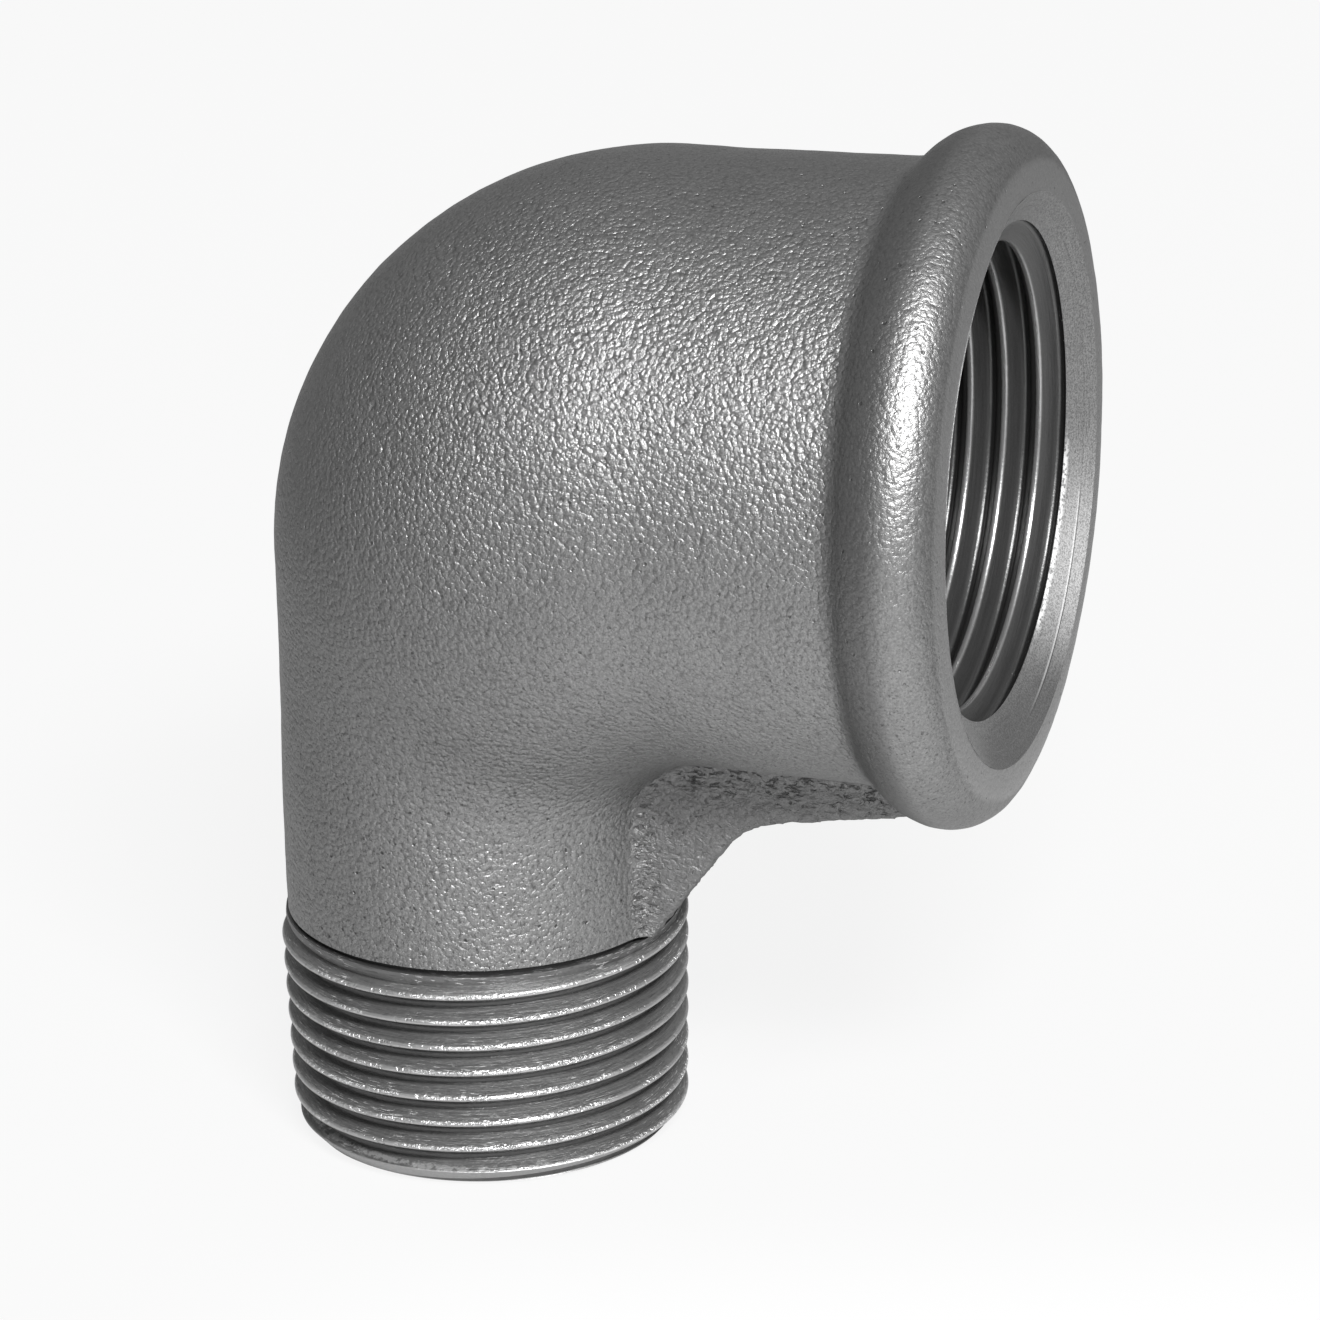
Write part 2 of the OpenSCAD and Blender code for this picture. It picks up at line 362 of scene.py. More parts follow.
def mark_rib(form):
    """Puts the rib's surface, with a soft edge, in a vertex group named rib."""
    rib_end_x = 33.0
    barrel_start_x = 17.0
    barrel_underside_z = SPIGOT_REACH - 19.0
    open_all(form)
    bpy.ops.mesh.select_all(action="DESELECT")
    bpy.ops.object.mode_set(mode="OBJECT")
    for vertex in form.data.vertices:
        x, y, z = vertex.co / MM
        across = abs(y) < RIB_HALF_WIDTH + 0.5
        along = NECK_R - 1.2 < x < rib_end_x
        off_barrel = math.hypot(y, z - SPIGOT_REACH) > BARREL_R + 0.1 or x < barrel_start_x
        vertex.select = across and along and z < barrel_underside_z and off_barrel
    bpy.ops.object.mode_set(mode="EDIT")
    bpy.ops.object.vertex_group_add()
    bpy.ops.object.vertex_group_assign()
    form.vertex_groups.active.name = "rib"
    bpy.ops.mesh.select_all(action="SELECT")
    bpy.ops.object.vertex_group_smooth(factor=0.5, repeat=3)
    bpy.ops.object.mode_set(mode="OBJECT")


def roughen(form, name, kind, size, strength, zone="", **settings):
    """Moves the surface in and out by a texture of a size and a strength in millimetres."""
    texture = bpy.data.textures.new(name, kind)
    texture.noise_scale = size * MM
    for key, value in settings.items():
        setattr(texture, key, value)
    mill(form, "DISPLACE", texture=texture, texture_coords="LOCAL",
         strength=strength * MM, mid_level=0.5, vertex_group=zone)


def make_cast_body():
    """The casting: mould form, sand texture, cored waterway and the cut at the thread."""
    neck_floor_z = MALE_LENGTH - 2.0
    core_foot_z = 5.0
    form = ring_sweep(
        "cast_body",
        [(0, neck_floor_z, 0.0, NECK_R)]
        + bend_rings(steps=36, wall_share=0.0)
        + along_socket(bead_profile()),
        BODY_POINTS)
    rib = rib_blank()
    lay_down()
    rib.select_set(True)
    form.select_set(True)
    bpy.context.view_layer.objects.active = form
    bpy.ops.object.join()
    mill(form, "REMESH", mode="VOXEL", voxel_size=SAND_GRID * MM, adaptivity=0.0)
    mill(form, "SMOOTH", factor=0.5, iterations=8)

    mark_rib(form)
    roughen(form, "mould_waves", "CLOUDS", size=5.0, strength=0.08)
    roughen(form, "sand_lumps", "CLOUDS", size=1.3, strength=0.035, noise_depth=2)
    roughen(form, "torn_rib", "DISTORTED_NOISE", size=0.9, strength=0.09, zone="rib",
            distortion=1.6)

    sleeve_r = COUNTERSINK_R - LINING_LAP
    sleeve = [(PIVOT.x + 0.01, sleeve_r), (SOCKET_REACH + CORE_OVERRUN, sleeve_r)]
    core = ring_sweep(
        "core",
        [(0, core_foot_z, 0.0, BORE_R)]
        + bend_rings(steps=32, wall_share=1.0)
        + along_socket(sleeve),
        CORE_POINTS)
    cut_with(form, core, "DIFFERENCE")
    slice_off(form, RELIEF_TOP, keep_above=True)
    drop_slivers(form)
    close_up(form)
    return form


# Cut threads

def thread_form(pitch):
    """One pitch of the rounded thread from root to root, as (height, rise)."""
    rounding = THREAD_ROUND * pitch
    depth = THREAD_DEPTH * pitch
    steps = 5
    root, crest = [], []
    for i in range(steps + 1):
        angle = math.radians(FLANK_START_ANGLE * i / steps)
        root.append((rounding * math.sin(angle), rounding * (1 - math.cos(angle))))
        crest.append((pitch / 2 - rounding * math.sin(angle),
                      depth - rounding * (1 - math.cos(angle))))
    flank = [((root[-1][0] + crest[-1][0]) / 2, (root[-1][1] + crest[-1][1]) / 2)]
    rising = root + flank + crest[::-1]
    falling = [(pitch - height, rise) for height, rise in rising[-2::-1]]
    return rising + falling


def thread_rod(name, pitch, minor_r, low, high, lead, steps):
    """A solid threaded rod on z, right-handed. Its spare turns are sliced off at both heights."""
    turns_below, spare_turns = 2, 3
    turns = math.ceil((high - low) / pitch) + spare_turns
    base = low - turns_below * pitch + lead
    rod = outline(name, [(minor_r + rise, base + height) for height, rise in thread_form(pitch)])
    bpy.ops.object.mode_set(mode="OBJECT")
    mill(rod, "SCREW", axis="Z", angle=2 * math.pi, screw_offset=pitch * MM,
         iterations=turns, steps=steps, render_steps=steps, use_merge_vertices=False)
    close_up(rod)
    slice_off(rod, low, keep_above=True)
    slice_off(rod, high, keep_above=False)
    close_up(rod)
    return rod


def countersink_x(radius):
    """Where the countersink has a radius, along the socket."""
    return SOCKET_REACH - (COUNTERSINK_R - radius) / COUNTERSINK_SLOPE


def make_socket_cut():
    """The drilled, tapped and countersunk lining of the socket."""
    low = PIVOT.x - BACK_LAP
    step, rise, hold = COUNTERSINK_STEP_R, COUNTERSINK_STEP_RISE, 0.04
    lining = turned("socket_cut", [
        (FEMALE_MINOR_R, low),
        (FEMALE_MINOR_R, countersink_x(FEMALE_MINOR_R)),
        (step - hold, countersink_x(step - hold)),
        (step, countersink_x(step)),
        (step + rise, countersink_x(step)),
        (step + rise + hold, countersink_x(step + hold)),
        (COUNTERSINK_R, countersink_x(COUNTERSINK_R - rise)),
        (COUNTERSINK_R, low)])
    tap = thread_rod("tap", FEMALE_PITCH, FEMALE_MINOR_R - TAP_CLEARANCE,
                     SOCKET_REACH - FEMALE_LENGTH, SOCKET_REACH + TOOL_OVERRUN,
                     FEMALE_LEAD, TAP_STEPS)
    cut_with(lining, tap, "DIFFERENCE")
    lay_along_socket(lining)
    close_up(lining)
    return lining


def make_spigot_cut():
    """The turned and threaded end of the spigot."""
    low, high = -TOOL_OVERRUN, MALE_LENGTH + TOOL_OVERRUN
    die = thread_rod("die", MALE_PITCH, MALE_SMALL_R - THREAD_DEPTH * MALE_PITCH,
                     low, high, MALE_LEAD, LATHE_STEPS)
    mill(die, "SIMPLE_DEFORM", deform_method="TAPER", deform_axis="Z",
         factor=TAPER_PER_RADIUS / MALE_SMALL_R * (high - low))
    run_out_profile = [
        (MALE_LENGTH - 2.6, 11.0), (MALE_LENGTH - 1.2, 12.45), (MALE_LENGTH - 0.7, 12.92),
        (LAND_TOP, LAND_R), (RELIEF_FLOOR, RELIEF_R), (RELIEF_TOP + 0.1, RELIEF_R)]
    run_out = ring_sweep(
        "run_out", [(0, z, 0.0, radius) for z, radius in run_out_profile], LATHE_STEPS)
    cut_with(die, run_out, "UNION")
    chamfer_r = SPIGOT_END_R + SPIGOT_CHAMFER_HEIGHT * SPIGOT_CHAMFER_SLOPE
    top = RELIEF_TOP + BACK_LAP
    end = turned("spigot_cut", [
        (BORE_R, 0.0), (SPIGOT_END_R, 0.0), (chamfer_r, SPIGOT_CHAMFER_HEIGHT),
        (BLANK_R, MALE_LENGTH - 0.9), (LAND_R + 0.04, MALE_LENGTH - 0.55), (LAND_R, LAND_TOP),
        (RELIEF_R + 0.02, RELIEF_FLOOR), (RELIEF_R, top), (BORE_R, top)])
    cut_with(end, die, "INTERSECT")
    close_up(end)
    return end


# Finishes

def both_ways(operation):
    """An operator on readings and its reflected form."""
    def plain(reading, other):
        return reading.finish.math(operation, reading, other)

    def reflected(reading, other):
        return reading.finish.math(operation, other, reading)

    return plain, reflected


class Reading:
    """A value on a node's output. Arithmetic on it adds Math nodes."""

    def __init__(self, finish, socket):
        self.finish = finish
        self.socket = socket

    __add__, __radd__ = both_ways("ADD")
    __sub__, __rsub__ = both_ways("SUBTRACT")
    __mul__, __rmul__ = both_ways("MULTIPLY")
    __truediv__, __rtruediv__ = both_ways("DIVIDE")
    __pow__, __rpow__ = both_ways("POWER")

    def beside(self, out):
        """Another output of the same node."""
        return Reading(self.finish, self.socket.node.outputs[out])


class Finish:
    """The nodes of a material or of the world. Places and sizes are in millimetres."""

    def __init__(self, owner):
        self.owner = owner
        owner.use_nodes = True
        self.tree = owner.node_tree
        self.tree.nodes.clear()

    def node(self, kind, settings=None, sockets=None, out=0):
        """Adds a node: its settings first, then the values or links of its sockets."""
        made = self.tree.nodes.new(kind)
        for key, value in (settings or {}).items():
            setattr(made, key, value)
        for key, value in (sockets or {}).items():
            if isinstance(value, Reading):
                self.tree.links.new(value.socket, made.inputs[key])
            else:
                made.inputs[key].default_value = value
        return Reading(self, made.outputs[out]) if made.outputs else None

    def math(self, operation, *values):
        """A Math node on one or two values."""
        return self.node("ShaderNodeMath", {"operation": operation}, dict(enumerate(values)))

    def place(self):
        """Object coordinates, whole and as x, y, z."""
        metres = self.node("ShaderNodeTexCoord", out="Object")
        spot = self.node("ShaderNodeVectorMath", {"operation": "SCALE"},
                         {"Vector": metres, "Scale": 1 / MM})
        split = self.node("ShaderNodeSeparateXYZ", None, {"Vector": spot})
        return spot, [split.beside(axis) for axis in "XYZ"]

    def noise(self, spot, size, detail=2.0, roughness=0.5, distortion=0.0):
        """Noise from 0 to 1 with lumps of a size."""
        return self.node("ShaderNodeTexNoise", None, {
            "Vector": spot, "Scale": 1 / size, "Detail": detail,
            "Roughness": roughness, "Distortion": distortion}, out="Fac")

    def cells(self, spot, size):
        """Distance from the middle of the nearest of many cells of a size."""
        return self.node("ShaderNodeTexVoronoi", {"feature": "F1"}, {
            "Vector": spot, "Scale": 1 / size, "Randomness": 1.0}, out="Distance")

    def fade(self, value, start, end):
        """0 at start, 1 at end, eased between."""
        return self.node("ShaderNodeMapRange", {"interpolation_type": "SMOOTHSTEP"}, {
            "Value": value, "From Min": start, "From Max": end}, out="Result")

    def band(self, value, start, full, hold, end):
        """0 up to start, 1 from full to hold, 0 from end on."""
        return self.fade(value, start, full) * self.fade(value, end, hold)

    def near(self, off, outer, inner):
        """1 where an offset is within inner of zero, 0 beyond outer."""
        return self.fade(self.math("ABSOLUTE", off), outer, inner)

    def blend(self, share, first, second):
        """Two colours mixed. Inputs 6 and 7 and output 2 are the Mix node's colours."""
        return self.node("ShaderNodeMix", {"data_type": "RGBA"},
                         {"Factor": share, 6: first, 7: second}, out=2)

    def layers(self, tone, coats):
        """Coats of (share, colour) laid over a tone one after the other."""
        for share, colour in coats:
            tone = self.blend(share, tone, colour)
        return tone

    def surface(self, tone, metal, rough, height):
        """The shader, with bump from a height. Returns the finished material."""
        normal = self.node("ShaderNodeBump", None, {
            "Strength": 1.0, "Distance": MM, "Height": height}, out="Normal")
        shader = self.node("ShaderNodeBsdfPrincipled", None, {
            "Base Color": tone, "Metallic": metal, "Roughness": rough, "Normal": normal})
        self.node("ShaderNodeOutputMaterial", None, {"Surface": shader})
        return self.owner


def grey(value):
    """A neutral colour, 0 black and 1 white."""
    return (value, value, value, 1.0)


def from_axis(u, v):
    """Distance from an axis, from the two places square to it."""
    return (u * u + v * v) ** 0.5


def cast_skin():
    """Annealed cast iron as it leaves the sand: pebbled, satin grey."""
    skin = Finish(bpy.data.materials.new("cast_skin"))
    spot, (x, y, z) = skin.place()

    # Sand: pebbles, fine grain, broad lumps, specks and pits, with painted shade in the creases
    # between the pebbles.
    drift = skin.node("ShaderNodeTexNoise", None,
                      {"Vector": spot, "Scale": 2.2, "Detail": 1.0}, out="Color")
    bent = skin.node("ShaderNodeVectorMath", {"operation": "MULTIPLY_ADD"},
                     {0: drift, 1: (0.3, 0.3, 0.3), 2: spot})
    pebbles = skin.cells(bent, 0.36)
    domes = 1 - pebbles * pebbles
    grain = skin.noise(spot, 0.26, 3.0, 0.65)
    crease_shade = skin.fade(pebbles + (0.5 - grain) * 0.8, 0.45, 0.85)
    broad = skin.noise(spot, 1.4, 2.0)
    mottle = skin.noise(spot, 6.0, 3.0)
    specks = skin.noise(spot, 0.15, 2.0, 0.7)
    dots = skin.fade(skin.noise(bent, 0.20, 1.0), 0.60, 0.70)
    pits = skin.fade(skin.cells(bent, 1.1), 0.13, 0.06)

    # Rib: torn along the barrel and the neck, with cracks and bright nicks. Along the barrel and
    # the neck the dark cracks also carry painted shade of those inside corners.
    half = RIB_HALF_WIDTH
    rib = (skin.band(y, -half - 0.9, -half - 0.1, half + 0.1, half + 0.9)
           * skin.band(x, NECK_R - 2.0, NECK_R - 0.6, 31.5, 33.5)
           * skin.fade(z, BARREL_FLOOR_Z + 1.6, BARREL_FLOOR_Z + 0.4))
    drawn_out = skin.node("ShaderNodeVectorMath", {"operation": "MULTIPLY"},
                          {0: bent, 1: (0.5, 1.0, 1.0)})
    tears = skin.noise(drawn_out, 0.42, 4.0, 0.65, 0.6)
    chips = skin.noise(bent, 0.24, 2.0, 0.5)
    upper_edge = rib * skin.fade(from_axis(y, z - SPIGOT_REACH) - BARREL_R, 2.2, 0.8)
    left_edge = rib * skin.fade(from_axis(x, y) - NECK_R, 1.6, 0.6)
    # Cracks, with painted shade where the rib meets the barrel and the neck.
    cracks_and_shade = (upper_edge * skin.fade(tears, 0.46, 0.38) * 0.65
              + left_edge * skin.fade(tears, 0.48, 0.40) * 0.5
              + rib * skin.fade(tears, 0.40, 0.32) * 0.5)
    nicks = left_edge * skin.fade(chips, 0.58, 0.66)

    # Zones: the bead, its front face, the groove behind it, which gets painted shade, the neck,
    # the underside and the back.
    bead = skin.fade(x, 30.0, 32.0)
    face = skin.fade(x, SOCKET_REACH - 0.35, SOCKET_REACH - 0.15)
    groove_shade = skin.band(x, 29.4, 31.2, 32.8, 34.4)
    neck = skin.fade(z, 34.0, 24.0)
    lower_half = skin.fade(z, 50.0, 36.0)
    back = skin.fade(x, 16.0, 4.0)

    rugged = ((1 - 0.45 * bead) * (1 - 0.1 * neck) * (1 - 0.3 * rib)
              * (1 + 0.65 * back) * (1 - 0.22 * lower_half))
    height = (rugged * (domes * 0.085 + grain * 0.10)
              + broad * (0.045 - 0.025 * bead) + specks * bead * 0.03 - pits * 0.05
              + rib * tears * 0.17 - cracks_and_shade * 0.10 + nicks * 0.08)
    tone = skin.layers(skin.blend(mottle, grey(0.29), grey(0.36)), [
        (skin.fade(specks, 0.42, 0.62) * 0.4, grey(0.18)),
        # Dark dots, more of them towards the bottom.
        (dots * (0.25 + 0.35 * lower_half), grey(0.07)),
        (skin.fade(specks, 0.44, 0.30) * 0.4, grey(0.48)),
        # Painted shade in the creases between the pebbles.
        (crease_shade * 0.2, grey(0.12)),
        # Painted shade in the groove behind the bead, deeper towards the bottom.
        (groove_shade * 0.5, grey(0.12)),
        (groove_shade * skin.fade(z, 46.0, 34.0) * 0.4, grey(0.10)),
        (face * 0.5, grey(0.55)),
        (pits * (0.5 + 0.4 * neck), grey(0.07)),
        (rib * 0.55, grey(0.19)),
        (cracks_and_shade * 0.55, grey(0.05)),
        (nicks * 0.6, grey(0.70))])
    rough = 0.33 + 0.06 * broad + 0.08 * grain + 0.05 * rib + 0.01 * bead
    return skin.surface(tone, 0.85 - 0.2 * nicks, rough, height)


def thread_reading(axial, u, v, pitch, crest_start):
    """Radius and angle about the axis, and the place in a turn from crest (0) to crest (1)."""
    cut = axial.finish
    angle = cut.math("ARCTAN2", v, u)
    turn = (axial - crest_start) / pitch - angle / (2 * math.pi)
    return from_axis(u, v), angle, turn - cut.math("FLOOR", turn)


def tool_lines(u, v, radius, slant, run, rise):
    """Noise drawn out round the axis, with cells per radian and per millimetre of slant."""
    cut = slant.finish
    lane = cut.node("ShaderNodeCombineXYZ", None, {
        "X": u / radius * run, "Y": v / radius * run, "Z": slant * rise})
    return cut.node("ShaderNodeTexNoise", None, {
        "Vector": lane, "Scale": 1.0, "Detail": 2.0, "Roughness": 0.6}, out="Fac")


def on_cone(axial, radius, slope, start):
    """1 on the cone on which radius = start + slope * axial."""
    return axial.finish.near(radius - slope * axial - start, 0.15, 0.09)


def cut_socket():
    """Tapped and countersunk iron: thin crests with a painted highlight, grey flanks, and roots
    and back flanks painted black as shade.
    """
    burr_start_r, burr_spiral = 16.28, 0.314
    cut = Finish(bpy.data.materials.new("cut_socket"))
    spot, (x, y, z) = cut.place()
    v = z - SPIGOT_REACH
    radius, angle, turn = thread_reading(x, y, v, FEMALE_PITCH, FEMALE_CREST_X)
    lines = tool_lines(y, v, radius, x + radius, 4.0, 6.0)
    flecks = cut.noise(spot, 0.28, 3.0, 0.6)
    specks = cut.noise(spot, 0.12, 2.0, 0.7)

    # Thread: crests by their depth, with a painted highlight; by the place in a turn, the back
    # painted dark as shade and the foot with a painted highlight line.
    cone = on_cone(x, radius, COUNTERSINK_SLOPE,
                   COUNTERSINK_R - COUNTERSINK_SLOPE * SOCKET_REACH)
    thread_end_x = SOCKET_REACH - FEMALE_LENGTH
    threaded = (1 - cone) * cut.fade(x, thread_end_x, thread_end_x + 1)
    depth = radius - FEMALE_MINOR_R
    # Crests, given a painted highlight.
    crest = threaded * cut.fade(depth + (flecks - 0.5) * 0.04, 0.09, 0.0)
    # Painted shade on the back flank and the root.
    back = threaded * cut.band(turn, 0.40, 0.50, 0.94, 0.985)
    # Painted highlight: a thin light line at the foot.
    foot = threaded * cut.band(turn, 0.33, 0.37, 0.38, 0.42)

    # Countersink: burr where the thread runs out, a painted highlight on one side, and the tool's
    # step drawn as a painted shade line with a painted highlight beside it.
    burr_off = radius + (flecks - 0.5) * 0.3 - (angle * burr_spiral + burr_start_r)
    burr = cone * cut.near(burr_off, 0.42, 0.15) * cut.band(angle, -1.10, -0.95, -0.30, -0.15)
    # Painted highlight on one side of the countersink.
    painted_cone_highlight = cone * cut.band(angle, -1.25, -0.70, -0.65, -0.10)
    # The span in which the step's painted shade and painted highlight are drawn.
    painted_light_patch = cut.band(angle, -1.50, -1.10, -0.44, -0.36)
    # Painted shade: a dark line at the tool's step.
    step = painted_light_patch * cut.near(radius - (COUNTERSINK_STEP_R + 0.03), 0.06, 0.03)
    # Painted highlight beside the step.
    shine = cone * painted_light_patch * cut.near(radius - (COUNTERSINK_STEP_R - 0.08), 0.09, 0.03)
    # bright: the painted highlights, with the light flecks of the burr.
    bright = (painted_cone_highlight * (0.35 + 0.4 * cut.fade(specks, 0.35, 0.60)) + 0.5 * shine
              + burr * cut.fade(flecks, 0.42, 0.52))

    plain = cut.blend(lines * 0.3 + cut.fade(specks, 0.3, 0.7) * 0.7, grey(0.18), grey(0.54))
    # Painted shade: the countersink darker towards its bottom.
    plain = cut.blend(cut.fade(v, -14.0, -17.0) * 0.5, plain, grey(0.14))
    tone = cut.layers(cut.blend(lines * 0.5 + specks * 0.5, grey(0.11), grey(0.26)), [
        (back * 0.9, grey(0.025)),
        (foot * 0.4, grey(0.30)),
        (crest * 0.85, grey(0.60)),
        (cone, plain),
        (bright * 0.8, grey(0.85)),
        (step * 0.85, grey(0.08))])
    rough = 0.30 + 0.15 * lines + 0.20 * cone - 0.08 * crest
    height = lines * 0.02 + flecks * 0.02 + cone * specks * 0.02 + burr * 0.05
    return cut.surface(tone, 0.85 - 0.45 * bright, rough, height)


def cut_spigot():
    """Die-cut iron: nicked crests with a painted highlight and painted glints, streaked flanks
    whose light streaks are painted glints, painted shade beneath each crest, in the roots and in
    the turned groove by the neck, and a light chamfer, partly painted light.
    """
    cut = Finish(bpy.data.materials.new("cut_spigot"))
    spot, (x, y, z) = cut.place()
    radius, _, turn = thread_reading(z, x, y, MALE_PITCH, MALE_CREST_Z)
    lines = tool_lines(x, y, radius, z - radius, 5.0, 5.0)
    dashes = tool_lines(x, y, radius, z - radius, 14.0, 14.0)
    flecks = cut.noise(spot, 0.28, 3.0, 0.6)
    nicks = cut.noise(spot, 0.55, 2.0, 0.6)
    # Patches in which the painted glints on crests and flanks show.
    painted_light_patch = cut.noise(spot, 5.0, 1.0)

    # Thread: crests by their depth, with a painted highlight; the flanks, the roots with painted
    # shade and the band beneath each crest, painted black as shade, by the place in a turn.
    chamfer = on_cone(z, radius, SPIGOT_CHAMFER_SLOPE, SPIGOT_END_R)
    outside = cut.fade(radius, 11.0, 11.4) * (1 - chamfer)
    land = cut.fade(z, MALE_LENGTH - 0.9, MALE_LENGTH - 0.7)
    ridged = outside * (1 - land)
    depth = TAPER_PER_RADIUS * z + MALE_SMALL_R - radius
    # Crests, given a painted highlight.
    crest = outside * cut.fade(depth + (nicks - 0.5) * 0.16, 0.18, 0.07)
    # Painted glints on the nicked crests.
    crest_glints = (crest * cut.fade(turn, 0.15, 0.07)
             * cut.fade(flecks, 0.44, 0.58) * cut.fade(painted_light_patch, 0.42, 0.58))
    # Painted shade: black beneath each crest.
    under_shade = ridged * cut.band(turn, 0.57, 0.64, 0.93, 0.975)
    # Painted shade in the roots.
    root = ridged * cut.near(turn - 0.50, 0.10, 0.04)
    flank = outside * land + ridged * cut.band(turn, 0.06, 0.12, 0.22, 0.34)
    # Painted glints: light streaks on the flanks.
    glint_streaks = flank * cut.fade(dashes, 0.60, 0.66) * cut.fade(painted_light_patch, 0.35, 0.55)
    edge_off = z + (flecks - 0.5) * 0.3 - 1.25
    # Painted highlight along the chamfer's nicked upper edge.
    edge = cut.near(edge_off, 0.16, 0.05) * cut.fade(nicks, 0.40, 0.55)
    # Painted shade: the turned groove by the neck painted black.
    relief_shade = cut.fade(z, LAND_TOP, MALE_LENGTH - 0.08)

    tone = cut.layers(cut.blend(lines * 0.6 + flecks * 0.4, grey(0.16), grey(0.46)), [
        (under_shade * 0.95, grey(0.015)),
        (root * 0.5, grey(0.16)),
        (outside * land * 0.6, grey(0.15)),
        (glint_streaks * 0.8, grey(0.85)),
        (flank * cut.fade(dashes, 0.43, 0.33) * 0.5, grey(0.08)),
        (crest * (1 - under_shade) * (1 - land) * 0.9, grey(0.58)),
        (crest_glints, grey(0.92)),
        # The chamfer lighter than the thread, partly painted light against the floor's shade.
        (chamfer, cut.blend(flecks, grey(0.44), grey(0.62))),
        (edge * 0.8, grey(0.80)),
        (relief_shade, grey(0.04))])
    rough = 0.38 + 0.12 * lines + 0.12 * chamfer + 0.17 * root - 0.10 * crest
    height = (lines * 0.03 + glint_streaks * 0.03 + flecks * 0.04 + crest_glints * 0.05
              - crest * cut.fade(nicks, 0.46, 0.34) * 0.05)
    return cut.surface(tone, 0.85 - 0.4 * glint_streaks, rough, height)


def dress(piece, material, slot, *nodes):
    """Smooths the piece, gives it its finish and sets it in the frame."""
    take(piece)
    bpy.ops.object.shade_smooth_by_angle(angle=math.radians(35))
    piece.data.materials.clear()
    piece.data.materials.append(material)
    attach(piece, "root")
    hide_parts(*nodes)


# Studio

# The camera that fits the outline in the photo, in degrees, millimetres and pixels.
# It faces the point of the socket's axis above the origin, moved aside by slide and lift.
AZIMUTH, ELEVATION, ROLL = (math.radians(angle) for angle in (17.407, 22.191, -1.969))
EYE_DISTANCE = 800.0
EYE_SLIDE = 12.549
EYE_LIFT = -14.434
FOCAL_PIXELS = 12385.95
PHOTO_PIXELS = 1320
SENSOR_WIDTH = 36.0

# Lights and floor: watts, metres and shares of white.
LAMP_WATTS = 37.0
LAMP_WIDTH = 0.52
LAMP_HEIGHT = 0.24
LAMP_DISTANCE = 1.5
ROOM_LIGHT = 0.23
PAPER_WHITE = 0.88
FLOOR_SIZE = 6.0
FLOOR_DROP = 0.0002


def camera_axes():
    """The camera's right, up and backward directions."""
    backward = Vector((math.sin(AZIMUTH) * math.cos(ELEVATION),
                       -math.cos(AZIMUTH) * math.cos(ELEVATION), math.sin(ELEVATION)))
    level_right = Vector((math.cos(AZIMUTH), math.sin(AZIMUTH), 0))
    level_up = backward.cross(level_right)
    right = level_right * math.cos(ROLL) + level_up * math.sin(ROLL)
    up = -level_right * math.sin(ROLL) + level_up * math.cos(ROLL)
    return right, up, backward


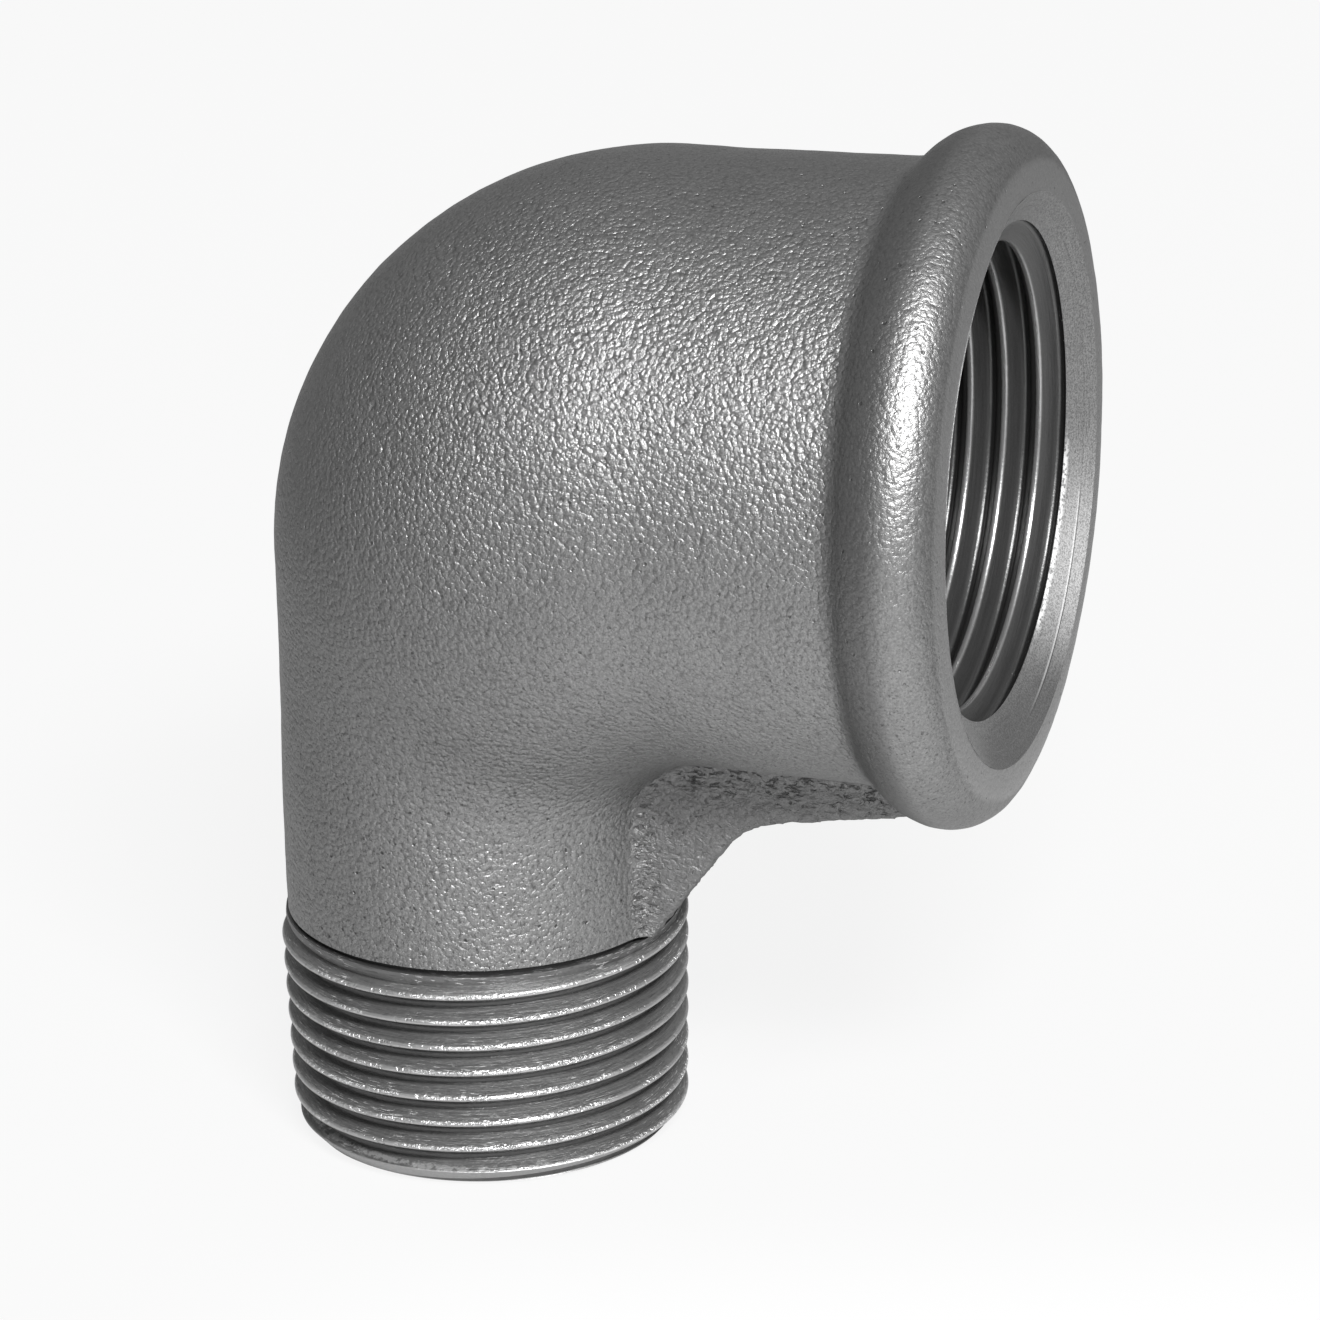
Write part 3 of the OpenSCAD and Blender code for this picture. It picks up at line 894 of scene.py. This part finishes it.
def lay_floor():
    """Pale paper. The camera sees it white. Near the object it is painted darker beneath and
    behind it as painted shade, and lighter towards the camera as painted light, where it also
    glows for glossy rays, so the metal mirrors a glowing sheet there.
    """
    lay_down()
    bpy.ops.mesh.primitive_plane_add(size=FLOOR_SIZE, location=(0, 0, -FLOOR_DROP))
    floor = bpy.context.object
    floor.name = "studio_floor"
    paper = Finish(bpy.data.materials.new("white_paper"))
    _, (x, y, _) = paper.place()
    across = x * math.cos(AZIMUTH) + y * math.sin(AZIMUTH) - EYE_SLIDE
    toward = x * math.sin(AZIMUTH) - y * math.cos(AZIMUTH)
    # Soft-edged zones: a sheet beneath the object, and its part towards the camera, which is
    # painted lighter and glows in reflections as painted light.
    sheet = paper.near(across, 95.0, 62.0)
    painted_light_front = paper.fade(toward, 14.0, 40.0) * paper.fade(across, -45.0, -5.0)
    camera_ray = paper.node("ShaderNodeLightPath", out="Is Camera Ray")
    glossy_ray = camera_ray.beside("Is Glossy Ray")
    clear_ray = camera_ray.beside("Is Transmission Ray")
    mirrored = glossy_ray * (0.08 + 0.92 * painted_light_front) + clear_ray * PAPER_WHITE
    seen = camera_ray * PAPER_WHITE + sheet * mirrored
    # Painted shade and light: paper darker beneath and behind the object, lighter towards the
    # camera.
    paper_shade_to_light = paper.blend(painted_light_front, grey(0.50), grey(0.80))
    matt = paper.node("ShaderNodeBsdfDiffuse", None,
                      {"Color": paper.blend(sheet, grey(0.24), paper_shade_to_light)})
    glow = paper.node("ShaderNodeEmission", None, {"Color": grey(1.0), "Strength": 1.0})
    shader = paper.node("ShaderNodeMixShader", None, {"Fac": seen, 1: matt, 2: glow})
    paper.node("ShaderNodeOutputMaterial", None, {"Surface": shader})
    floor.data.materials.append(paper.owner)


def fill_room():
    """Even light from all round."""
    bpy.context.scene.world = bpy.data.worlds.new("white_room")
    room = Finish(bpy.context.scene.world)
    light = room.node("ShaderNodeBackground", None,
                      {"Color": grey(1.0), "Strength": ROOM_LIGHT})
    room.node("ShaderNodeOutputWorld", None, {"Surface": light})


def hang_lamp():
    """A softbox above the camera and a little to its right."""
    right, up, backward = camera_axes()
    middle = Vector((0.008, 0.0, 0.034))
    way = right * 0.158 + up * 0.35 + backward * 0.94
    bpy.ops.object.light_add(type="AREA", location=middle + way * LAMP_DISTANCE)
    lamp = bpy.context.object
    lamp.name = "softbox"
    lamp.data.shape = "RECTANGLE"
    lamp.data.size = LAMP_WIDTH
    lamp.data.size_y = LAMP_HEIGHT
    lamp.data.energy = LAMP_WATTS
    lamp.rotation_euler = way.to_track_quat("Z", "Y").to_euler()


def set_camera():
    """The camera at the photo's angle."""
    right, up, backward = camera_axes()
    eye = (backward * EYE_DISTANCE + right * EYE_SLIDE + up * EYE_LIFT
           + Vector((0, 0, SPIGOT_REACH))) * MM
    bpy.ops.object.camera_add()
    camera = bpy.context.object
    camera.name = "photo_camera"
    camera.matrix_world = Matrix((
        (right.x, up.x, backward.x, eye.x),
        (right.y, up.y, backward.y, eye.y),
        (right.z, up.z, backward.z, eye.z),
        (0, 0, 0, 1)))
    camera.data.sensor_width = SENSOR_WIDTH
    camera.data.lens = FOCAL_PIXELS * SENSOR_WIDTH / PHOTO_PIXELS
    camera.data.clip_start = 0.01
    camera.data.clip_end = 20.0
    bpy.context.scene.camera = camera


cast_body = make_cast_body()
socket_cut = make_socket_cut()
spigot_cut = make_spigot_cut()

dress(cast_body, cast_skin(), "cast_skin",
      "bend", "socket", "socket_bead", "throat_rib", "spigot")
dress(socket_cut, cut_socket(), "cut_thread", "socket_thread")
dress(spigot_cut, cut_spigot(), "cut_thread", "spigot_thread")
lay_floor()
fill_room()
hang_lamp()
set_camera()
bpy.context.scene.view_settings.view_transform = "Standard"
